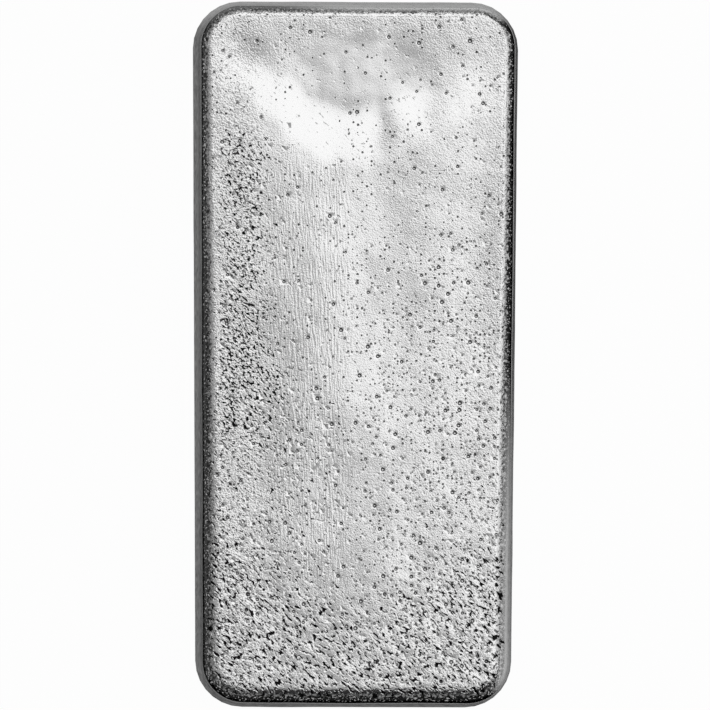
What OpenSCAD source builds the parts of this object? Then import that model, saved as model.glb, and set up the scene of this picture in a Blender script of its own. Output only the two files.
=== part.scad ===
// Cast metal ingot: a kilogram of silver, poured into an open mould and turned out.
// The bar lies on its pour face, with the smaller mould face up.
// Sizes are in millimetres. X runs across the bar, +Y to its head end, +Z up.
// The origin is on the floor under the middle of the bar.

/* [Plan] */
// Length of the bar at its widest level
length = 117; // [90:0.5:150]
// Width at the head end, measured to the sharp corners
head_w = 54.1; // [44:0.1:66]
// Width at the foot end, measured to the sharp corners
foot_w = 52.4; // [44:0.1:66]
// Radius of the four upright corners at the widest level
corner_r = 7.8; // [6:0.1:12]

/* [Section] */
// Height from the pour face to the mould face
height = 16.1; // [12:0.1:24]
// Draft of the mould walls from upright, in degrees
draft = 5; // [2:0.5:8]
// Radius of the mould face's edge round its head end
head_edge_r = 1.8; // [1:0.1:3.5]
// Radius of the mould face's edge round its foot end
foot_edge_r = 3; // [1:0.1:3.5]
// Radius of the meniscus edge round the pour face
pour_edge_r = 2; // [1:0.1:3]

/* [Pour face] */
// Length of the shrinkage sink in the pour face
sink_len = 92; // [60:1:96]
// Width of the shrinkage sink in the pour face
sink_w = 34; // [20:1:38]
// Depth of the sink at its middle
sink_depth = 0.5; // [0.2:0.1:1.5]

/* [Mould face] */
// Length of the shallow dip near the head end of the mould face
dip_len = 22; // [12:1:26]
// Width of the dip
dip_w = 34; // [20:1:36]
// Depth of the dip at its middle
dip_depth = 0.4; // [0.1:0.1:0.8]
// Distance of the dip's middle from the head end
dip_from_head = 15.5; // [14:0.5:30]
// Distance of the dip's middle to the right of the bar's middle line
dip_aside = 2.5; // [0:0.5:3]

/* [Hidden] */

// Plan: four corner centres, on a trapezium inset by the corner radius.
side_lean = atan((head_w - foot_w) / 2 / length);
corner_y = length / 2 - corner_r;
function half_w(y) = (head_w + foot_w) / 4 + y * tan(side_lean);
function corner_x(y) = half_w(y) - corner_r / cos(side_lean);

// Section: the edge radii of both faces are tangent to the drafted wall.
wall_normal = [cos(draft), sin(draft)];
pour_centre = [corner_r - pour_edge_r, pour_edge_r];
wall_foot = pour_centre + pour_edge_r * wall_normal;
function face_centre(edge_r) =
    let (rise = height - edge_r - wall_foot.y)
    [wall_foot.x - (edge_r + rise * sin(draft)) / cos(draft), height - edge_r];

// Hollows: the cap of a ball as wide and as deep as the hollow, drawn out to its length.
function ball_r(wide, deep) = (pow(wide / 2, 2) + pow(deep, 2)) / (2 * deep);

// Half section of a corner, from its upright axis outwards.
module edge_section(edge_r) {
    centre = face_centre(edge_r);
    wall_head = centre + edge_r * wall_normal;
    intersection() {
        union() {
            polygon([
                [0, 0],
                [pour_centre.x, 0],
                wall_foot,
                wall_head,
                [centre.x, height],
                [0, height],
            ]);
            translate(pour_centre) circle(pour_edge_r);
            translate(centre) circle(edge_r);
        }
        square([corner_r, height]);
    }
}

// One upright corner, turned from its section.
module corner(y, edge_r) {
    translate([corner_x(y), y])
        rotate_extrude($fn = 64)
            edge_section(edge_r, $fn = 48);
}

// The casting as the mould gave it: its four corners, and the metal between them.
module casting() {
    hull()
        for (side = [0, 1])
            mirror([side, 0, 0]) {
                corner(corner_y, head_edge_r);
                corner(-corner_y, foot_edge_r);
            }
}

// A shallow hollow left where the metal shrank as it set, cut upwards from the floor.
module hollow(long, wide, deep) {
    scale([1, long / wide, 1])
        rotate_extrude($fn = 96)
            intersection() {
                translate([0, deep - ball_r(wide, deep)]) circle(ball_r(wide, deep), $fn = 720);
                translate([0, -deep]) square([wide, 2 * deep]);
            }
}

module ingot() {
    color("silver") difference() {
        casting();
        hollow(sink_len, sink_w, sink_depth);
        translate([dip_aside, length / 2 - dip_from_head, height])
            mirror([0, 0, 1])
                hollow(dip_len, dip_w, dip_depth);
    }
}

ingot();
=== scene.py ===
import math
import bpy
import numpy as np
from mathutils import Matrix, Vector


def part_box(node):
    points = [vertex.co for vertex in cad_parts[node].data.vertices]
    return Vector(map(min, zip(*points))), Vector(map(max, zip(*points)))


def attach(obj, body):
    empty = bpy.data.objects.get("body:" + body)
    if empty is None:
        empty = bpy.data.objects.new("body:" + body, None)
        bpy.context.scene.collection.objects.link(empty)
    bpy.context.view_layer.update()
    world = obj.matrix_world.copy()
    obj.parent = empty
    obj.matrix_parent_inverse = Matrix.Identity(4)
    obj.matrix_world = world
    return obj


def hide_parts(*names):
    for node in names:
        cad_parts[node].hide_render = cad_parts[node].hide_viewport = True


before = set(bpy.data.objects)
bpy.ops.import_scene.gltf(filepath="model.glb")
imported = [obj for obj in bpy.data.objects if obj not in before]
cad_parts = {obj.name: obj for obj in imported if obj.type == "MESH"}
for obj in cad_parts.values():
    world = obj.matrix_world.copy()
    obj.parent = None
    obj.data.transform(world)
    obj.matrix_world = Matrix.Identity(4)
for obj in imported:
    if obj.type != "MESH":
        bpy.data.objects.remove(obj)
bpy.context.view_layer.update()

mm = 0.001
scene = bpy.context.scene
scene.view_settings.view_transform = "Standard"


def hexColor(code):    # sRGB hex to linear RGBA
    channels = [int(code[i:i + 2], 16) / 255 for i in (1, 3, 5)]
    linear = [c / 12.92 if c <= 0.04045 else ((c + 0.055) / 1.055) ** 2.4 for c in channels]
    return (*linear, 1.0)


# A value that is a node or a socket is linked. By number, Map Range has 0 the value, 1 and 2 the range
# from, 3 and 4 the range to, and a colour Mix has 0 the factor, 6 and 7 the colours
def addNode(tree, kind, settings, sockets):
    node = tree.nodes.new(kind)
    for name, value in settings.items():
        setattr(node, name, value)
    for key, value in sockets.items():
        if isinstance(value, bpy.types.Node):
            value = next(out for out in value.outputs if out.enabled)
        if isinstance(value, bpy.types.NodeSocket):
            tree.links.new(value, node.inputs[key])
        else:
            node.inputs[key].default_value = value
    return node


# Camera: nearly straight above the bar, a little to its left, through a long lens
shot = {
    "framePx": 710,
    "barPx": 705,                 # length of the bar in the picture
    "barCentrePx": (354, 354.6),
    "leanDeg": 2.0,               # camera's lean to the left of upright
    "rollDeg": 0.2,               # how far the bar is turned clockwise in the picture
    "distance": 2.0,
    "sensorMm": 36,
}
boxLow, boxHigh = (Vector(corner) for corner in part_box("ingot"))
barLength = boxHigh.y - boxLow.y
barHeight = boxHigh.z - boxLow.z
pxPerMetre = shot["barPx"] / barLength

lean = math.radians(shot["leanDeg"])
backward = Vector((-math.sin(lean), 0, math.cos(lean)))
upward = Matrix.Rotation(math.radians(shot["rollDeg"]), 3, backward) @ Vector((0, 1, 0))
rightward = upward.cross(backward)
aim = (rightward * (shot["framePx"] / 2 - shot["barCentrePx"][0])
       - upward * (shot["framePx"] / 2 - shot["barCentrePx"][1])) / pxPerMetre
cameraData = bpy.data.cameras.new("camera")
cameraData.sensor_width = shot["sensorMm"]
cameraData.lens = pxPerMetre * shot["distance"] * shot["sensorMm"] / shot["framePx"]
camera = bpy.data.objects.new("camera", cameraData)
turn = Matrix((rightward, upward, backward)).transposed()
camera.matrix_world = Matrix.Translation(aim + backward * shot["distance"]) @ turn.to_4x4()
scene.collection.objects.link(camera)
scene.camera = camera
print("camera: lens", round(cameraData.lens), "mm")


def onFace(px, py):    # a place in the picture, cast onto the mould face
    middle = shot["framePx"] / 2
    ray = rightward * (px - middle) - upward * (py - middle) - backward * pxPerMetre * shot["distance"]
    start = aim + backward * shot["distance"]
    return start + ray * ((barHeight - start.z) / ray.z)


# The bar's plain skin: a fine grid on the mould face and its shoulder, coarse elsewhere
skin = {
    "headWidth": 54.1,      # sizes in mm, as the solid has them
    "footWidth": 52.4,
    "cornerRadius": 7.8,
    "draftDeg": 5.0,
    "headEdge": 1.8,
    "footEdge": 3.0,
    "pourEdge": 2.0,
    "sinkLength": 92.0,
    "sinkWidth": 34.0,
    "sinkDepth": 0.5,
    "faceStep": 0.5,        # spacing of the fine grid
    "arcStep": 0.26,        # spacing down the shoulder
    "coarsen": 3,           # fine steps to one coarse step
    "cornerShare": 0.8,     # part of a corner's arc that its steps are counted on
}


def steps(span, spacing, multiple=1):    # number of steps along a span
    return max(1, round(span / spacing / multiple)) * multiple


def buildSkin():
    radius = skin["cornerRadius"]
    step = skin["faceStep"]
    many = skin["coarsen"]
    length = barLength / mm
    height = barHeight / mm
    slope = (skin["headWidth"] - skin["footWidth"]) / 2 / length
    sideLean = math.atan(slope)
    coreY = length / 2 - radius
    middle = (skin["headWidth"] + skin["footWidth"]) / 4 - radius / math.cos(sideLean)
    headX = middle + coreY * slope
    footX = middle - coreY * slope
    core = np.array([(headX, coreY), (-headX, coreY), (-footX, -coreY), (footX, -coreY)])
    facing = [-sideLean, math.pi / 2, math.pi + sideLean, 1.5 * math.pi, 2 * math.pi - sideLean]
    alongSteps = steps(2 * coreY, step, many)
    acrossSteps = steps(headX + footX, step, many)
    cornerSteps = steps(math.pi / 2 * radius * skin["cornerShare"], step, many)

    # One column for each place round the bar: a point of the core's edge and a direction outwards
    base = []
    angle = []
    for i in range(4):
        for j in range(cornerSteps):
            base.append(core[i])
            angle.append(facing[i] + (facing[i + 1] - facing[i]) * j / cornerSteps)
        wallSteps = acrossSteps if i % 2 == 0 else alongSteps
        for j in range(wallSteps):
            base.append(core[i] + (core[(i + 1) % 4] - core[i]) * j / wallSteps)
            angle.append(facing[i + 1])
    base = np.array(base)
    outward = np.stack([np.cos(angle), np.sin(angle)], axis=1)

    # Rows of the edge as (distance from the core, height, turn)
    # The turn is 0 on the mould face, 1 on the wall and 2 on the pour face
    draft = math.radians(skin["draftDeg"])
    footZ = skin["pourEdge"] * (1 + math.sin(draft))
    footS = radius - skin["pourEdge"] * (1 - math.cos(draft))
    headShare = (base[:, 1] / coreY + 1) / 2
    edge = skin["footEdge"] + (skin["headEdge"] - skin["footEdge"]) * headShare
    faceZ = height - edge
    faceS = footS - (edge + (faceZ - footZ) * math.sin(draft)) / math.cos(draft)
    flat = np.ones(len(base))
    fineRows = []
    flatSteps = steps(faceS.mean(), step)
    for j in range(1, flatSteps + 1):
        fineRows.append((faceS * j / flatSteps, flat * height, 0))
    arcSteps = steps(edge.mean() * (math.pi / 2 - draft), skin["arcStep"])
    for j in range(1, arcSteps + 1):
        phi = math.pi / 2 + (draft - math.pi / 2) * j / arcSteps
        fineRows.append((faceS + edge * math.cos(phi), faceZ + edge * math.sin(phi), j / arcSteps))
    coarseRows = []
    headS, headZ, _ = fineRows[-1]
    wallSteps = steps(headZ.mean() - footZ, step * many)
    for j in range(1, wallSteps + 1):
        t = j / wallSteps
        coarseRows.append((headS + (footS - headS) * t, headZ + (footZ - headZ) * t, 1))
    pourS = radius - skin["pourEdge"]
    meniscusSteps = steps(skin["pourEdge"] * math.pi / 2, step)
    for j in range(1, meniscusSteps + 1):
        phi = draft - (draft + math.pi / 2) * j / meniscusSteps
        out = skin["pourEdge"] * math.cos(phi)
        down = skin["pourEdge"] * (1 + math.sin(phi))
        coarseRows.append((flat * (pourS + out), flat * down, 1 + j / meniscusSteps))
    rimSteps = steps(pourS, step * many)
    for j in range(1, rimSteps):
        coarseRows.append((flat * pourS * (1 - j / rimSteps), flat * 0, 2))

    verts = []
    turns = []
    faces = []

    def addPoints(points, turnValue):
        first = len(verts)
        verts.extend(points)
        turns.extend([turnValue] * len(points))
        return np.arange(first, first + len(points))

    def addRing(row, every):
        s, z, turnValue = row
        plan = (base + s[:, None] * outward)[::every]
        return addPoints([(x, y, up) for (x, y), up in zip(plan, z[::every])], turnValue)

    def addCore(across, along, z, turnValue):    # a grid over the core, and its edge as a ring
        u = np.linspace(0, 1, across + 1)[:, None]
        v = np.linspace(0, 1, along + 1)[:, None, None]
        head = core[0] + (core[1] - core[0]) * u
        foot = core[3] + (core[2] - core[3]) * u
        grid = head + (foot - head) * v
        index = addPoints([(x, y, z) for x, y in grid.reshape(-1, 2)], turnValue)
        index = index.reshape(along + 1, across + 1)
        ring = []
        corner = cornerSteps * across // acrossSteps
        for side in (index[0, :-1], index[:-1, -1], index[-1, :0:-1], index[:0:-1, 0]):
            ring += [side[0]] * corner + list(side)    # the corner's point serves its whole fan
        return index, ring

    def addStrip(inner, outer):
        count = len(outer)
        for k in range(count):
            nearer = (inner[(k + 1) % count], inner[k])
            corners = (*nearer, outer[k], outer[(k + 1) % count])
            faces.append(corners[1:] if nearer[0] == nearer[1] else corners)

    topGrid, ring = addCore(acrossSteps, alongSteps, height, 0)
    for j in range(alongSteps):
        for i in range(acrossSteps):
            faces.append((topGrid[j, i], topGrid[j, i + 1], topGrid[j + 1, i + 1], topGrid[j + 1, i]))
    for row in fineRows:
        nextRing = addRing(row, 1)
        addStrip(ring, nextRing)
        ring = nextRing
    fineRing = ring
    ring = addRing(coarseRows[0], many)
    for k in range(len(ring)):    # the join of the fine ring to the coarse one
        f = [fineRing[(many * k + j) % len(fineRing)] for j in range(many + 1)]
        a, b = ring[k], ring[(k + 1) % len(ring)]
        faces.extend([(f[0], a, f[1]), (f[1], a, b), (f[1], b, f[2]), (f[2], b, f[3])])
    for row in coarseRows[1:]:
        nextRing = addRing(row, many)
        addStrip(ring, nextRing)
        ring = nextRing
    baseGrid, inner = addCore(acrossSteps // many, alongSteps // many, 0, 2)
    count = len(ring)
    for k in range(count):
        further = (inner[k], inner[(k + 1) % count])
        corners = (ring[(k + 1) % count], ring[k], *further)
        faces.append(corners[:3] if further[0] == further[1] else corners)
    for j in range(alongSteps // many):
        for i in range(acrossSteps // many):
            faces.append((baseGrid[j, i], baseGrid[j + 1, i], baseGrid[j + 1, i + 1], baseGrid[j, i + 1]))

    place = np.array(verts)
    turns = np.array(turns, dtype=np.float32)
    under = turns == 2    # the sink in the pour face
    ball = ((skin["sinkWidth"] / 2) ** 2 + skin["sinkDepth"] ** 2) / (2 * skin["sinkDepth"])
    reach = place[:, 0] ** 2 + (place[:, 1] * skin["sinkWidth"] / skin["sinkLength"]) ** 2
    cap = np.sqrt(np.maximum(ball ** 2 - reach, 0)) - (ball - skin["sinkDepth"])
    place[under, 2] = np.maximum(cap[under], 0)

    mesh = bpy.data.meshes.new("ingotSkin")
    mesh.from_pydata((place * mm).tolist(), [], [[int(i) for i in face] for face in faces])
    mesh.attributes.new("turn", "FLOAT", "POINT").data.foreach_set("value", turns)
    return mesh


skinMesh = buildSkin()
print("skin:", len(skinMesh.vertices), "points,", len(skinMesh.polygons), "faces")

# Zones of the mould face. Each is a product of ramps: the way a distance is counted from the bar's middle,
# where the zone begins and where it is full, in mm
zones = {
    "leftStrip": [("left", 14, 20)],
    "leftBand": [("left", 9, 18), ("head", -22, 0), ("head", 40, 33)],
    "outerBand": [("left", 9, 18), ("head", -22, 0), ("head", 40, 33), ("left", 21.5, 23.5)],
    "leftPits": [("left", 2, 14), ("foot", -10, 10)],
    "leftPores": [("left", 4, 10), ("foot", 0, 12)],
    "lowerLeft": [("left", -2, 8), ("foot", -4, 10)],
    "lowerRight": [("right", 2, 10), ("foot", 15, 30)],
    "rightHalf": [("right", 0, 20)],
    "rightPores": [("right", -8, 10), ("foot", -24, 6)],
    "rightSpecks": [("right", -6, 8), ("foot", -34, -12)],
    "rightEdge": [("right", 20, 24.5), ("head", -20, 10)],
    "headEnd": [("head", 51, 56)],
    "headRight": [("right", -14, 2)],
    "upperHalf": [("head", -38, 18)],
    "drawn": [("right", -19, -11), ("right", 1, -4), ("head", -45, -30)],
    "drawnHead": [("right", -19, -11), ("right", 1, -4), ("head", -45, -30), ("head", 27, 36)],
}
footEnd = {"ramp": (33, 50), "bend": 0.018}    # the foot's wrinkles reach further up along both sides
# Smooth patches: ovals by their middle and half size, and the shares of those over which they come in
smoothPatches = {
    "lobes": {"edge": (1.1, 0.5), "ovals": [(-9, 37, 8, 7), (15, 41, 6, 5), (-16, 46, 5, 5)]},
    "stillPool": {"edge": (1.1, 0.6), "ovals": [(1, 46, 14, 9)]},
}
# How much of each kind of relief, tone or painted shade a zone gives, on a scale from 0 to 1
amounts = {
    "skin": {"all": 1, "stillPool": -0.7},
    "grain": {"all": 0.1, "stillPool": -0.1, "rightHalf": 0.14, "leftStrip": 0.8, "shoulder": 0.4,
              "rightShoulder": 0.4, "lowerRightShoulder": -0.7, "headShoulder": 0.1, "footEnd": -0.1,
              "headEnd": 0.35, "rightEdge": 0.3},
    "wrinkle": {"footEnd": 1, "leftBand": 0.3, "outerBand": -0.21, "lowerLeft": 0.35, "lowerRight": 0.25},
    "pits": {"leftBand": 0.95, "outerBand": -0.665, "leftPits": 0.5},
    "pores": {"all": 0.2, "rightPores": 1, "leftPores": 0.45, "lobes": -0.15},
    "specks": {"all": 0.4, "rightSpecks": 0.6, "lobes": -0.4, "stillPool": -0.2},
    "lines": {"drawn": 1, "drawnHead": -0.7},
    # Painted shade round the shoulder, for the dark it reflects, heavier at the foot and upper right,
    # lighter at the head and lower right
    "stain": {"all": 0.95, "footWall": 0.35, "upperRightWall": 0.35, "lowerRightWall": -0.65,
              "headWall": -0.15, "rightHeadWall": -0.65},
    # The walls painted lighter or darker by which way they face: lighter at the head, darker at the foot
    # and upper right
    "wallShade": {"all": 0.45, "footWall": -0.15, "upperRightWall": -0.4, "headWall": 0.55},
}
# Where things begin and are full round the edge: the turn is 0 on the mould face and 1 on the wall
edges = {
    "shoulder": (0, 0.12),
    "level": (0.4, 0.1),
    "overEdge": (0.65, 0.3),
    "face": (1.0, 0.75),
    "dip": (1.0, 0.2),
    "bareWall": (0.5, 0.9),     # the wall's dull skin where no painted shoulder shade lies on it
    "facing": (0.3, 0.9),       # how squarely a wall has to face one way
    "shadeDepth": (2, 8),       # mm below the mould face over which the painted shoulder shade gives way to the dull skin
}
# The dip near the head end and the long waves of the mould face, in mm
# A wave is given by its middle, its half size and its depth
headDip = {
    "rim": (31.4, 0.3, 0.03, 0.48),    # lowest place, rise and bend of the left arm, rise of the right one
    "rimRadius": 3,
    "rimWaves": [(0.5, 0.45, 0, 1), (0.4, 0.9, -0.3, 0)],    # size, turns across and along, start
    "depth": 0.5,
    "fall": (-1.5, 9.5),               # distances from the rim over which the dip falls
    "rise": (39, 18, 0.8),             # where the floor comes up again, over what length and by what share
    "ridge": (7.0, 3.2, 0.8),          # middle, half width and share of a low ridge up the dip
    "ridgeEnd": (46, 36),
    "waves": [(2.5, 20, 4.5, 13, 0.13), (-20, -8, 8, 22, 0.28), (22, -18, 10, 20, 0.22),
              (10, 4, 8, 9, 0.16), (21, 14, 5, 14, 0.17), (-19.5, 48.5, 2.5, 2.5, 0.28)],
}


def ramp(value, begin, full):
    t = np.clip((value - begin) / (full - begin), 0, 1)
    return t * t * (3 - 2 * t)


def dipDepth(x, y):
    lowest, leftRise, leftBend, rightRise = headDip["rim"]
    aside = np.sqrt(x ** 2 + headDip["rimRadius"] ** 2) - headDip["rimRadius"]
    rim = lowest + np.where(x < 0, leftRise * aside + leftBend * aside ** 2, rightRise * aside)
    for size, across, along, start in headDip["rimWaves"]:
        rim += size * np.sin(across * x + along * y + start)
    begin, length, share = headDip["rise"]
    dip = headDip["depth"] * ramp(y - rim, *headDip["fall"])
    dip *= 1 - share * np.clip((y - begin) / length, 0, 1)
    middleX, wide, share = headDip["ridge"]
    dip *= 1 - share * np.exp(-((x - middleX) / wide) ** 2) * ramp(y, *headDip["ridgeEnd"])
    for middleX, middleY, wide, tall, deep in headDip["waves"]:
        dip += deep * np.exp(-0.5 * (((x - middleX) / wide) ** 2 + ((y - middleY) / tall) ** 2))
    return dip


def addShares(mesh):
    count = len(mesh.vertices)
    spots = np.empty(3 * count)
    mesh.vertices.foreach_get("co", spots)
    x, y, z = spots.reshape(-1, 3).T / mm
    turns = np.empty(count, dtype=np.float32)
    mesh.attributes["turn"].data.foreach_get("value", turns)
    normals = np.empty(3 * count, dtype=np.float32)
    mesh.vertex_normals.foreach_get("vector", normals)
    towardsRight, towardsHead, _ = normals.reshape(-1, 3).T

    zone = {"all": np.ones(count)}
    distance = {"left": -x, "right": x, "head": y, "foot": -y}
    for name, ramps in zones.items():
        zone[name] = np.prod([ramp(distance[way], begin, full) for way, begin, full in ramps], axis=0)
    zone["footEnd"] = ramp(footEnd["bend"] * x ** 2 - y, *footEnd["ramp"])
    for name, patch in smoothPatches.items():
        zone[name] = np.zeros(count)
        for middleX, middleY, wide, tall in patch["ovals"]:
            away = np.hypot((x - middleX) / wide, (y - middleY) / tall)
            zone[name] = np.maximum(zone[name], ramp(away, *patch["edge"]))
    rightWall = ramp(towardsRight, *edges["facing"])
    zone["headWall"] = ramp(towardsHead, *edges["facing"])
    zone["footWall"] = ramp(-towardsHead, *edges["facing"])
    zone["rightHeadWall"] = zone["headWall"] * zone["headRight"]
    zone["upperRightWall"] = rightWall * zone["upperHalf"]
    zone["lowerRightWall"] = rightWall - zone["upperRightWall"]
    zone["shoulder"] = ramp(turns, *edges["shoulder"])
    zone["rightShoulder"] = zone["shoulder"] * rightWall
    zone["lowerRightShoulder"] = zone["shoulder"] * zone["lowerRightWall"]
    zone["headShoulder"] = zone["shoulder"] * zone["headWall"]

    shares = {}
    for name, parts in amounts.items():
        total = sum(amount * zone[place] for place, amount in parts.items())
        shares[name] = np.maximum(total, 0) if name == "stain" else np.clip(total, 0, 1)
    shares["dents"] = shares["wrinkle"] * ramp(turns, *edges["overEdge"])
    shares["pits"] *= ramp(turns, *edges["overEdge"])
    for name in ("wrinkle", "pores", "specks"):
        shares[name] *= ramp(turns, *edges["level"])
    shares["grain"] *= ramp(turns, *edges["face"])
    shares["lines"] *= (1 - zone["stillPool"]) * ramp(turns, *edges["face"])
    shares["dip"] = dipDepth(x, y) * ramp(turns, *edges["dip"])
    shaded = np.minimum(shares["stain"], 1)
    shares["wall"] = (shaded * ramp(barHeight / mm - z, *edges["shadeDepth"])
                      + (1 - shaded) * ramp(turns, *edges["bareWall"]))
    shares["cut"] = np.zeros(count)    # the cutters write this one
    for name, share in shares.items():
        mesh.attributes.new(name, "FLOAT", "POINT").data.foreach_set("value", share.astype(np.float32))


addShares(skinMesh)
print("shares:", len(amounts), "kinds of relief and tone in", len(zones), "zones")

# Relief of the casting: noise pressed into the skin, never raised above it, sizes in mm
relief = [
    {"name": "Swell", "size": (12, 18, 18), "turnDeg": 20, "depth": 0.08, "low": 0.3, "high": 0.7},
    {"name": "Dimple", "size": (3.5, 4.5, 4.5), "turnDeg": 30, "depth": 0.02, "low": 0.3, "high": 0.7},
    {"name": "Pebble", "size": (1.4, 1.7, 1.7), "turnDeg": 40, "depth": 0.03, "low": 0.3, "high": 0.75,
     "share": "grain"},
    {"name": "Wrinkle", "size": (1.2, 2.4, 2.4), "turnDeg": -45, "depth": 0.04, "low": 0.3, "high": 0.7,
     "share": "wrinkle"},
]
reliefEnds = (1.0, 1.2)    # turns of the edge below the wall over which the relief goes out
# Gas pores and crevices cut out of the relief, in mm; the spacing keeps the cutters of a kind apart
cuts = [
    {"name": "Large pore", "spacing": 1.2, "perCm2": 0, "least": 0.3, "most": 0.46, "stretch": 1,
     "turnDeg": 0, "lift": 0.3, "share": None, "seed": 2, "rounds": 2, "dark": 1.0},
    {"name": "Gas pore", "spacing": 1.1, "perCm2": 30, "least": 0.19, "most": 0.42, "stretch": 1,
     "turnDeg": 0, "lift": 0.3, "share": "pores", "seed": 4, "rounds": 2, "dark": 1.0},
    {"name": "Pin pore", "spacing": 0.5, "perCm2": 45, "least": 0.11, "most": 0.19, "stretch": 1,
     "turnDeg": 0, "lift": 0.2, "share": "pores", "seed": 11, "rounds": 1, "dark": 1.0},
    {"name": "Crevice", "spacing": 1.1, "perCm2": 50, "least": 0.1, "most": 0.17, "stretch": 3.0,
     "turnDeg": 45, "lift": 0.35, "share": "wrinkle", "seed": 23, "rounds": 2, "dark": 0.9},
]
cutter = {
    "flat": 0.75,               # height of a cutter as a share of its width
    "skew": 2.0,                # more small ones than large ones
    "swayDeg": 25,
    "darkFrom": (-1.0, -0.75),  # levels of the unit ball over which the hollow's wall is painted dark as shade, its bottom left clear
    "creaseDeg": 38,
}
# Places of the largest pores in the picture
largePoresPx = [
    (261, 117), (257, 41), (310, 32), (346, 52), (389, 37), (439, 27), (419, 43), (453, 47), (470, 41),
    (390, 98), (350, 113), (446, 93), (483, 103), (441, 235), (459, 245), (388, 270), (448, 294),
    (479, 386), (460, 403), (484, 404), (455, 433), (406, 416), (428, 432), (393, 448), (365, 491),
    (393, 490), (469, 493), (420, 543), (396, 569), (400, 601),
]


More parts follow.
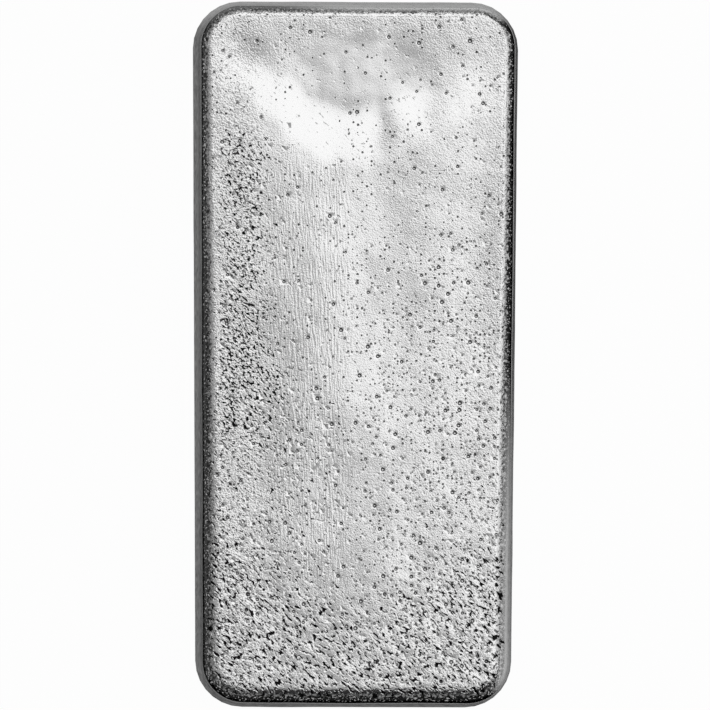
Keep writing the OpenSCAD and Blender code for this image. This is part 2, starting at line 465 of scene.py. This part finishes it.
def castSurface(skinMesh, material):    # relief and cuts, returned as a plain mesh
    tree = bpy.data.node_groups.new("castSurface", "GeometryNodeTree")
    tree.interface.new_socket("Skin", in_out="INPUT", socket_type="NodeSocketGeometry")
    chosen = {}

    def addInput(name, value):
        kind = "NodeSocketVector" if isinstance(value, tuple) else "NodeSocketFloat"
        socket = tree.interface.new_socket(name, in_out="INPUT", socket_type=kind)
        chosen[socket.identifier] = value

    for layer in relief:
        addInput(layer["name"] + " size", tuple(size * mm for size in layer["size"]))
        addInput(layer["name"] + " depth", layer["depth"] * mm)
    for cut in cuts:
        addInput(cut["name"] + " spacing", cut["spacing"] * mm)
        addInput(cut["name"] + " density", cut["perCm2"] * 1e4)
        addInput(cut["name"] + " least", cut["least"] * mm)
        addInput(cut["name"] + " most", cut["most"] * mm)
        addInput(cut["name"] + " stretch", float(cut["stretch"]))
    largePores = tree.interface.new_socket("Large pores", in_out="INPUT", socket_type="NodeSocketObject")
    tree.interface.new_socket("Casting", in_out="OUTPUT", socket_type="NodeSocketGeometry")
    sizes = addNode(tree, "NodeGroupInput", {}, {}).outputs

    position = addNode(tree, "GeometryNodeInputPosition", {}, {})
    turns = addNode(tree, "GeometryNodeInputNamedAttribute", {}, {"Name": "turn"})
    upper = addNode(tree, "ShaderNodeMapRange", {},
                    {0: turns, 1: reliefEnds[0], 2: reliefEnds[1], 3: 1.0, 4: 0.0})
    press = addNode(tree, "GeometryNodeInputNamedAttribute", {}, {"Name": "dip"})
    press = addNode(tree, "ShaderNodeMath", {"operation": "MULTIPLY"}, {0: press, 1: mm})
    for layer in relief:
        turned = addNode(tree, "ShaderNodeVectorRotate", {"rotation_type": "Z_AXIS"},
                         {"Vector": position, "Angle": math.radians(layer["turnDeg"])})
        scaled = addNode(tree, "ShaderNodeVectorMath", {"operation": "DIVIDE"},
                         {0: turned, 1: sizes[layer["name"] + " size"]})
        noise = addNode(tree, "ShaderNodeTexNoise", {}, {"Vector": scaled, "Scale": 1.0, "Detail": 1.0})
        level = addNode(tree, "ShaderNodeMapRange", {"interpolation_type": "SMOOTHSTEP"},
                        {0: noise, 1: layer["low"], 2: layer["high"]})
        deep = addNode(tree, "ShaderNodeMath", {"operation": "MULTIPLY"},
                       {0: level, 1: sizes[layer["name"] + " depth"]})
        if "share" in layer:
            share = addNode(tree, "GeometryNodeInputNamedAttribute", {}, {"Name": layer["share"]})
            deep = addNode(tree, "ShaderNodeMath", {"operation": "MULTIPLY"}, {0: deep, 1: share})
        press = addNode(tree, "ShaderNodeMath", {}, {0: press, 1: deep})
    press = addNode(tree, "ShaderNodeMath", {"operation": "MULTIPLY"}, {0: press, 1: upper})
    inward = addNode(tree, "ShaderNodeMath", {"operation": "MULTIPLY"}, {0: press, 1: -1.0})
    normal = addNode(tree, "GeometryNodeInputNormal", {}, {})
    move = addNode(tree, "ShaderNodeVectorMath", {"operation": "SCALE"}, {0: normal, "Scale": inward})
    pressed = addNode(tree, "GeometryNodeSetPosition", {}, {"Geometry": sizes["Skin"], "Offset": move})

    spots = addNode(tree, "GeometryNodeObjectInfo", {}, {"Object": sizes["Large pores"]})
    spots = addNode(tree, "GeometryNodeMeshToPoints", {}, {"Mesh": spots.outputs["Geometry"]})
    nearest = addNode(tree, "GeometryNodeProximity", {}, {0: pressed})
    spots = addNode(tree, "GeometryNodeSetPosition", {},
                    {"Geometry": spots, "Position": nearest.outputs["Position"]})
    body = pressed
    for cut in cuts:
        name = cut["name"]
        points = spots
        if cut["share"]:
            share = addNode(tree, "GeometryNodeInputNamedAttribute", {}, {"Name": cut["share"]})
            points = addNode(tree, "GeometryNodeDistributePointsOnFaces", {"distribute_method": "POISSON"},
                             {"Mesh": pressed, "Distance Min": sizes[name + " spacing"],
                              "Density Max": sizes[name + " density"], "Density Factor": share,
                              "Seed": cut["seed"]})
            near = addNode(tree, "GeometryNodeProximity", {"target_element": "POINTS"}, {0: spots})
            near = addNode(tree, "FunctionNodeCompare", {"operation": "LESS_THAN"},
                           {0: near.outputs["Distance"], 1: sizes[name + " spacing"]})
            points = addNode(tree, "GeometryNodeDeleteGeometry", {"domain": "POINT"},
                             {"Geometry": points, "Selection": near})
        chance = addNode(tree, "FunctionNodeRandomValue", {}, {"Seed": cut["seed"]})
        skewed = addNode(tree, "ShaderNodeMath", {"operation": "POWER"},
                         {0: chance.outputs[1], 1: cutter["skew"]})
        radius = addNode(tree, "ShaderNodeMapRange", {},
                         {0: skewed, 3: sizes[name + " least"], 4: sizes[name + " most"]})
        lift = addNode(tree, "ShaderNodeMath", {"operation": "MULTIPLY"}, {0: radius, 1: cut["lift"]})
        raised = addNode(tree, "ShaderNodeCombineXYZ", {}, {"Z": lift})
        lifted = addNode(tree, "GeometryNodeSetPosition", {}, {"Geometry": points, "Offset": raised})
        long = addNode(tree, "ShaderNodeMath", {"operation": "MULTIPLY"},
                       {0: radius, 1: sizes[name + " stretch"]})
        deep = addNode(tree, "ShaderNodeMath", {"operation": "MULTIPLY"}, {0: radius, 1: cutter["flat"]})
        shape = addNode(tree, "ShaderNodeCombineXYZ", {}, {"X": radius, "Y": long, "Z": deep})
        sway = addNode(tree, "FunctionNodeRandomValue", {},
                       {2: math.radians(cut["turnDeg"] - cutter["swayDeg"]),
                        3: math.radians(cut["turnDeg"] + cutter["swayDeg"]), "Seed": cut["seed"] + 1})
        heading = addNode(tree, "ShaderNodeCombineXYZ", {}, {"Z": sway.outputs[1]})
        ball = addNode(tree, "GeometryNodeMeshIcoSphere", {},
                       {"Radius": 1.0, "Subdivisions": cut["rounds"]})
        # Painted shade on the walls of each hollow, its bottom left lighter
        level = addNode(tree, "ShaderNodeSeparateXYZ", {}, {0: position})
        dark = addNode(tree, "ShaderNodeMapRange", {},
                       {0: level.outputs["Z"], 1: cutter["darkFrom"][0], 2: cutter["darkFrom"][1],
                        4: cut["dark"]})
        ball = addNode(tree, "GeometryNodeStoreNamedAttribute", {"data_type": "FLOAT", "domain": "POINT"},
                       {"Geometry": ball, "Name": "cut", "Value": dark})
        cutters = addNode(tree, "GeometryNodeInstanceOnPoints", {},
                          {"Points": lifted, "Instance": ball, "Rotation": heading, "Scale": shape})
        cutters = addNode(tree, "GeometryNodeRealizeInstances", {}, {"Geometry": cutters})
        body = addNode(tree, "GeometryNodeMeshBoolean", {"operation": "DIFFERENCE", "solver": "MANIFOLD"},
                       {"Mesh 1": body, "Mesh 2": cutters})

    rounded = addNode(tree, "GeometryNodeSetShadeSmooth", {"domain": "FACE"},
                      {"Geometry": body, "Shade Smooth": True})
    fold = addNode(tree, "GeometryNodeInputMeshEdgeAngle", {}, {})
    sharp = addNode(tree, "FunctionNodeCompare", {"operation": "GREATER_THAN"},
                    {0: fold, 1: math.radians(cutter["creaseDeg"])})
    creased = addNode(tree, "GeometryNodeSetShadeSmooth", {"domain": "EDGE"},
                      {"Geometry": rounded, "Selection": sharp, "Shade Smooth": False})
    whole = addNode(tree, "GeometryNodeRealizeInstances", {}, {"Geometry": creased})
    dressed = addNode(tree, "GeometryNodeSetMaterial", {}, {"Geometry": whole, "Material": material})
    addNode(tree, "NodeGroupOutput", {"is_active_output": True}, {"Casting": dressed})

    blank = bpy.data.objects.new("blank", skinMesh)
    scene.collection.objects.link(blank)
    modifier = blank.modifiers.new("castSurface", "NODES")
    modifier.node_group = tree
    spotMesh = bpy.data.meshes.new("largePores")
    spotMesh.from_pydata([onFace(*spot) for spot in largePoresPx], [], [])
    spots = bpy.data.objects.new("largePores", spotMesh)
    scene.collection.objects.link(spots)
    modifier[largePores.identifier] = spots
    for identifier, value in chosen.items():
        modifier[identifier] = value
    graph = bpy.context.evaluated_depsgraph_get()
    mesh = bpy.data.meshes.new_from_object(blank.evaluated_get(graph), depsgraph=graph)
    blank.modifiers.remove(modifier)
    bpy.data.objects.remove(blank)
    bpy.data.objects.remove(spots)
    mesh.name = "ingotCast"
    return mesh


# Cast silver: bright where it set smooth, broken into light and dark where it set grainy, with painted
# shade in its dents, pin holes, pores and grain hollows, a dull mould skin down the walls that is partly
# painted shade, and painted shade round the shoulder for the dark it reflects. Sizes in mm
silver = {
    "color": "#D8D8D8",
    "roughness": 0.14,
    # The walls' dull mould skin, partly painted shade: darker than the metal so that they do not give back
    # the white floor
    "wallDark": "#6A6A6A",
    "wallLight": "#A4A4A4",
    "wallRoughness": 0.5,
    "glanceDark": "#383838",     # what the wall gives back at a low angle, darkened as painted shade
    "glanceLight": "#D6D6D6",
    "mottleSize": 0.9,
    "mottleFrom": (0.3, 0.7),    # levels of the noise over which it wanders
    "mottle": 0.2,               # how far the wall's tone wanders
    # painted shade, round the shoulder and in the hollows of the grain, and its reflection at a low angle
    "shadeColor": "#262626",
    "shadeGlance": "#606060",
    "shadeFrom": (0.6, 0.95),    # turn of the edge, the ragged part added, over which the painted shoulder shade comes in
    "stainRagged": 0.8,
    "raggedSize": 0.5,
    "brightSize": 0.34,          # bright grains left clear of the painted shade
    "brightDeg": 10,
    "brightFrom": (0.6, 0.68),
    "brightTurn": (0.9, 0.55),
    "brightRoughness": 0.4,
    "hollowFrom": (0.42, 0.3),   # some painted shade in the low parts of the fine grain
    "hollowShare": 0.5,
    # painted shade in the dents and pin holes
    "dentShadeColor": "#161616",
    "dentShift": (-0.08, -0.08, 0),    # the painted shade of a dent lies on its wall towards the lamp
    "dentDark": (-0.06, -0.12),
    "dentSlope": -0.25,
    "faintest": 0.08,            # share below which dents and pin holes fade out
    # painted shade on the walls of the pores
    "poreShadeColor": "#343434",
}
# Fine grain as bump; the finest real grain is smaller than a pixel, so it is drawn coarser
grains = [
    {"size": (0.22, 0.22, 0.22), "turnDeg": 0, "depth": 0.015, "share": "skin"},
    {"size": (0.26, 0.26, 0.26), "turnDeg": 30, "depth": 0.06, "share": "grain"},
    {"size": (0.5, 0.6, 0.6), "turnDeg": 30, "depth": 0.05, "share": "grain"},
    {"size": (0.52, 1.1, 1.0), "turnDeg": -45, "depth": 0.075, "share": "dents", "dent": (0.34, 0.505)},
    {"size": (0.36, 0.62, 0.6), "turnDeg": -45, "depth": 0.055, "share": "pits", "dent": (0.3, 0.5)},
    {"size": (0.3, 2.4, 2), "turnDeg": -3, "depth": 0.032, "share": "lines"},
]
# Pin holes too small to cut, pressed in as bump and painted dark as shade
specks = {
    "cell": 0.75,
    "largest": 0.42,
    "depth": 0.05,
    "rarest": (0.99, 0.45),      # part of the cells without a hole, at the lowest and the highest share
    "smallest": -0.03,
    "softness": (-0.05, 0.13),
    "dark": 0.85,
}


def castSilver():
    material = bpy.data.materials.new("castSilver")
    material.use_nodes = True
    tree = material.node_tree
    tree.nodes.clear()
    coords = addNode(tree, "ShaderNodeTexCoord", {}, {}).outputs["Object"]
    share = {}
    for name in ("turn", "skin", "grain", "dents", "pits", "lines", "specks", "stain", "wallShade", "wall",
                 "cut"):
        share[name] = addNode(tree, "ShaderNodeAttribute", {"attribute_name": name}, {}).outputs["Fac"]

    def grainNoise(size, turnDeg, shift=(0, 0, 0)):
        moved = addNode(tree, "ShaderNodeVectorMath", {},
                        {0: coords, 1: tuple(side * mm for side in shift)})
        turned = addNode(tree, "ShaderNodeVectorRotate", {"rotation_type": "Z_AXIS"},
                         {"Vector": moved, "Angle": math.radians(turnDeg)})
        scaled = addNode(tree, "ShaderNodeVectorMath", {"operation": "DIVIDE"},
                         {0: turned, 1: tuple(side * mm for side in size)})
        return addNode(tree, "ShaderNodeTexNoise", {}, {"Vector": scaled, "Scale": 1.0, "Detail": 1.0})

    # Bump height and the painted shade of the dents, layer by layer
    height = None
    dentAndHoleShade = None
    for grain in grains:
        noise = grainNoise(grain["size"], grain["turnDeg"])
        if "dent" in grain:    # flat, with dents where the noise is low, more of them at a high share
            few, many = grain["dent"]
            brim = addNode(tree, "ShaderNodeMapRange", {}, {0: share[grain["share"]], 3: few, 4: many})
            aside = grainNoise(grain["size"], grain["turnDeg"], silver["dentShift"])
            shade = addNode(tree, "ShaderNodeMath", {"operation": "SUBTRACT"}, {0: aside, 1: brim})
            shade = addNode(tree, "ShaderNodeMapRange", {"interpolation_type": "SMOOTHSTEP"},
                            {0: shade, 1: silver["dentDark"][0], 2: silver["dentDark"][1]})
            present = addNode(tree, "ShaderNodeMapRange", {},
                              {0: share[grain["share"]], 2: silver["faintest"]})
            shade = addNode(tree, "ShaderNodeMath", {"operation": "MULTIPLY"}, {0: shade, 1: present})
            if dentAndHoleShade is not None:
                shade = addNode(tree, "ShaderNodeMath", {"operation": "MAXIMUM"}, {0: dentAndHoleShade, 1: shade})
            dentAndHoleShade = shade
            dents = addNode(tree, "ShaderNodeMath", {"operation": "SUBTRACT"}, {0: noise, 1: brim})
            noise = addNode(tree, "ShaderNodeMapRange", {"interpolation_type": "SMOOTHSTEP"},
                            {0: dents, 1: silver["dentSlope"], 2: 0.0})
        deep = addNode(tree, "ShaderNodeMath", {"operation": "MULTIPLY"}, {0: noise, 1: grain["depth"]})
        if "dent" not in grain:
            deep = addNode(tree, "ShaderNodeMath", {"operation": "MULTIPLY"},
                           {0: deep, 1: share[grain["share"]]})
        if height is not None:
            deep = addNode(tree, "ShaderNodeMath", {}, {0: height, 1: deep})
        height = deep
    cells = addNode(tree, "ShaderNodeVectorMath", {"operation": "DIVIDE"},
                    {0: coords, 1: (specks["cell"] * mm,) * 3})
    cells = addNode(tree, "ShaderNodeTexVoronoi", {"voronoi_dimensions": "2D"},
                    {"Vector": cells, "Scale": 1.0})
    chance = addNode(tree, "ShaderNodeSeparateColor", {}, {0: cells.outputs["Color"]})
    rarest = addNode(tree, "ShaderNodeMapRange", {},
                     {0: share["specks"], 3: specks["rarest"][0], 4: specks["rarest"][1]})
    reach = addNode(tree, "ShaderNodeMapRange", {},
                    {0: chance, 1: rarest, 3: specks["smallest"],
                     4: specks["largest"] / 2 / specks["cell"]})
    within = addNode(tree, "ShaderNodeMath", {"operation": "SUBTRACT"},
                     {0: reach, 1: cells.outputs["Distance"]})
    speck = addNode(tree, "ShaderNodeMapRange", {"interpolation_type": "SMOOTHSTEP"},
                    {0: within, 1: specks["softness"][0], 2: specks["softness"][1], 4: specks["dark"]})
    present = addNode(tree, "ShaderNodeMapRange", {}, {0: share["specks"], 2: silver["faintest"]})
    speck = addNode(tree, "ShaderNodeMath", {"operation": "MULTIPLY"}, {0: speck, 1: present})
    # the pin holes join the painted shade of the dents
    dentAndHoleShade = addNode(tree, "ShaderNodeMath", {"operation": "MAXIMUM"}, {0: dentAndHoleShade, 1: speck})
    hole = addNode(tree, "ShaderNodeMath", {"operation": "MULTIPLY"}, {0: speck, 1: specks["depth"]})
    height = addNode(tree, "ShaderNodeMath", {"operation": "SUBTRACT"}, {0: height, 1: hole})
    bump = addNode(tree, "ShaderNodeBump", {}, {"Height": height, "Distance": mm, "Strength": 1.0})

    # Painted shade round the shoulder, standing in for the dark it reflects, with a ragged edge and bright
    # grains left clear of it
    ragged = addNode(tree, "ShaderNodeMath", {"operation": "MULTIPLY_ADD"},
                     {0: grainNoise((silver["raggedSize"],) * 3, 0), 1: silver["stainRagged"],
                      2: share["turn"]})
    shaded = addNode(tree, "ShaderNodeMapRange", {"interpolation_type": "SMOOTHSTEP"},
                      {0: ragged, 1: silver["shadeFrom"][0], 2: silver["shadeFrom"][1]})
    bright = addNode(tree, "ShaderNodeMapRange", {"interpolation_type": "SMOOTHSTEP"},
                     {0: grainNoise((silver["brightSize"],) * 3, silver["brightDeg"]),
                      1: silver["brightFrom"][0], 2: silver["brightFrom"][1]})
    bright = addNode(tree, "ShaderNodeMath", {"operation": "MULTIPLY"}, {0: shaded, 1: bright})
    above = addNode(tree, "ShaderNodeMapRange", {},
                    {0: share["turn"], 1: silver["brightTurn"][0], 2: silver["brightTurn"][1]})
    bright = addNode(tree, "ShaderNodeMath", {"operation": "MULTIPLY"}, {0: bright, 1: above})
    shaded = addNode(tree, "ShaderNodeMath", {"operation": "SUBTRACT"}, {0: shaded, 1: bright})
    shaded = addNode(tree, "ShaderNodeMath", {"operation": "MULTIPLY"}, {0: shaded, 1: share["stain"]})

    mottle = addNode(tree, "ShaderNodeMapRange", {},
                     {0: grainNoise((silver["mottleSize"],) * 3, 0), 1: silver["mottleFrom"][0],
                      2: silver["mottleFrom"][1], 3: -silver["mottle"], 4: silver["mottle"]})
    wallShade = addNode(tree, "ShaderNodeMath", {"use_clamp": True}, {0: share["wallShade"], 1: mottle})
    # Painted shade in the low parts of the fine grain
    hollow = addNode(tree, "ShaderNodeMapRange", {"interpolation_type": "SMOOTHSTEP"},
                     {0: grainNoise(grains[1]["size"], grains[1]["turnDeg"]), 1: silver["hollowFrom"][0],
                      2: silver["hollowFrom"][1]})
    hollow = addNode(tree, "ShaderNodeMath", {"operation": "MULTIPLY"}, {0: hollow, 1: share["grain"]})
    hollow = addNode(tree, "ShaderNodeMath", {"operation": "MULTIPLY"},
                     {0: hollow, 1: silver["hollowShare"]})

    # Colour from the clean metal up: painted shoulder shade, wall, painted shade in the hollows, dents and
    # pores
    wallColor = addNode(tree, "ShaderNodeMix", {"data_type": "RGBA"},
                        {0: wallShade, 6: hexColor(silver["wallDark"]), 7: hexColor(silver["wallLight"])})
    color = addNode(tree, "ShaderNodeMix", {"data_type": "RGBA"},
                    {0: shaded, 6: hexColor(silver["color"]), 7: hexColor(silver["shadeColor"])})
    color = addNode(tree, "ShaderNodeMix", {"data_type": "RGBA"},
                    {0: share["wall"], 6: color, 7: wallColor})
    color = addNode(tree, "ShaderNodeMix", {"data_type": "RGBA"},
                    {0: hollow, 6: color, 7: hexColor(silver["shadeColor"])})
    color = addNode(tree, "ShaderNodeMix", {"data_type": "RGBA"},
                    {0: dentAndHoleShade, 6: color, 7: hexColor(silver["dentShadeColor"])})
    color = addNode(tree, "ShaderNodeMix", {"data_type": "RGBA"},
                    {0: share["cut"], 6: color, 7: hexColor(silver["poreShadeColor"])})
    rough = addNode(tree, "ShaderNodeMapRange", {},
                    {0: share["wall"], 3: silver["roughness"], 4: silver["wallRoughness"]})
    rough = addNode(tree, "ShaderNodeMath", {"operation": "MULTIPLY_ADD", "use_clamp": True},
                    {0: bright, 1: silver["brightRoughness"], 2: rough})
    wallGlance = addNode(tree, "ShaderNodeMix", {"data_type": "RGBA"},
                         {0: wallShade, 6: hexColor(silver["glanceDark"]), 7: hexColor(silver["glanceLight"])})
    glance = addNode(tree, "ShaderNodeMix", {"data_type": "RGBA"},
                     {0: shaded, 6: hexColor("#FFFFFF"), 7: hexColor(silver["shadeGlance"])})
    glance = addNode(tree, "ShaderNodeMix", {"data_type": "RGBA"},
                     {0: share["wall"], 6: glance, 7: wallGlance})
    surface = addNode(tree, "ShaderNodeBsdfPrincipled", {},
                      {"Base Color": color, "Metallic": 1.0, "Roughness": rough, "Normal": bump,
                       "Specular Tint": glance})
    addNode(tree, "ShaderNodeOutputMaterial", {}, {"Surface": surface})
    return material


castMesh = castSurface(skinMesh, castSilver())
triangles = sum(len(face.vertices) - 2 for face in castMesh.polygons)
print("casting:", len(castMesh.vertices), "points,", triangles, "triangles")
ingot = bpy.data.objects.new("ingotBody", castMesh)
scene.collection.objects.link(ingot)
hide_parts("ingot")
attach(ingot, "root")

# Light: a large soft lamp from the head end and the right, its near edge above the bar, a dim one over the
# left, and gray cards standing round the bar. Sizes in metres
studio = {
    "lampHeight": 3.5,
    "headingDeg": 42,        # the key lamp's line, turned from the head end to the right
    "keyFrom": 0.08,         # where the key lamp begins along that line, measured from above the bar
    "keySize": (6.0, 3.0),
    "keyRadiance": 0.94,
    "fillMiddle": (-1.15, 0.7),
    "fillSize": (5.3, 4.6),
    "fillRise": 0.03,        # the fill lamp hangs this much above the key lamp
    "fillRadiance": 0.42,
    "cardDistance": 4.0,
    "cardSize": (8.0, 2.4),
    "cardMiddle": 1.4,
    "cardRadiance": {"headCard": 0.54, "leftCard": 0.34, "footCard": 0.3, "rightCard": 0.8},
    "roomColor": "#363636",
}


def addLamp(name, size, radiance, place, turn):
    lampData = bpy.data.lights.new(name, "AREA")
    lampData.shape = "RECTANGLE"
    lampData.size, lampData.size_y = size
    lampData.energy = radiance * math.pi * size[0] * size[1]
    lamp = bpy.data.objects.new(name, lampData)
    lamp.location = place
    lamp.rotation_euler = turn
    scene.collection.objects.link(lamp)


heading = math.radians(studio["headingDeg"])
away = studio["keyFrom"] + studio["keySize"][1] / 2
addLamp("keyLamp", studio["keySize"], studio["keyRadiance"],
        (away * math.sin(heading), away * math.cos(heading), studio["lampHeight"]), (0, 0, -heading))
addLamp("fillLamp", studio["fillSize"], studio["fillRadiance"],
        (*studio["fillMiddle"], studio["lampHeight"] + studio["fillRise"]), (0, 0, 0))
for quarter, (name, radiance) in enumerate(studio["cardRadiance"].items()):
    facing = quarter * math.pi / 2
    away = studio["cardDistance"]
    stand = (-away * math.sin(facing), away * math.cos(facing), studio["cardMiddle"])
    addLamp(name, studio["cardSize"], radiance, stand, (math.radians(-90), 0, facing))
world = bpy.data.worlds.new("studio")
world.use_nodes = True
world.node_tree.nodes["Background"].inputs["Color"].default_value = hexColor(studio["roomColor"])
scene.world = world
print("light: two lamps,", len(studio["cardRadiance"]), "cards and a dim room")

# Floor: white to the eye and in reflections, with the bar's own shadow left on it
ground = {"halfSize": 3.0, "color": "#F4F4F4", "whiteShare": 0.97}
floorMaterial = bpy.data.materials.new("whiteFloor")
floorMaterial.use_nodes = True
tree = floorMaterial.node_tree
tree.nodes.clear()
rays = addNode(tree, "ShaderNodeLightPath", {}, {}).outputs
seen = addNode(tree, "ShaderNodeMath", {"operation": "MAXIMUM"},
               {0: rays["Is Camera Ray"], 1: rays["Is Glossy Ray"]})
seen = addNode(tree, "ShaderNodeMath", {"operation": "MAXIMUM"}, {0: seen, 1: rays["Is Transmission Ray"]})
whiteShare = addNode(tree, "ShaderNodeMath", {"operation": "MULTIPLY"}, {0: seen, 1: ground["whiteShare"]})
plain = addNode(tree, "ShaderNodeBsdfDiffuse", {}, {"Color": hexColor(ground["color"])})
white = addNode(tree, "ShaderNodeEmission", {}, {"Color": hexColor("#FFFFFF"), "Strength": 1.0})
mixed = addNode(tree, "ShaderNodeMixShader", {}, {0: whiteShare, 1: plain, 2: white})
addNode(tree, "ShaderNodeOutputMaterial", {}, {"Surface": mixed})
half = ground["halfSize"]
floorMesh = bpy.data.meshes.new("floor")
floorMesh.from_pydata([(-half, -half, 0), (half, -half, 0), (half, half, 0), (-half, half, 0)], [],
                      [(0, 1, 2, 3)])
floorMesh.materials.append(floorMaterial)
floor = bpy.data.objects.new("floor", floorMesh)
scene.collection.objects.link(floor)
print("floor:", 2 * half, "m square")
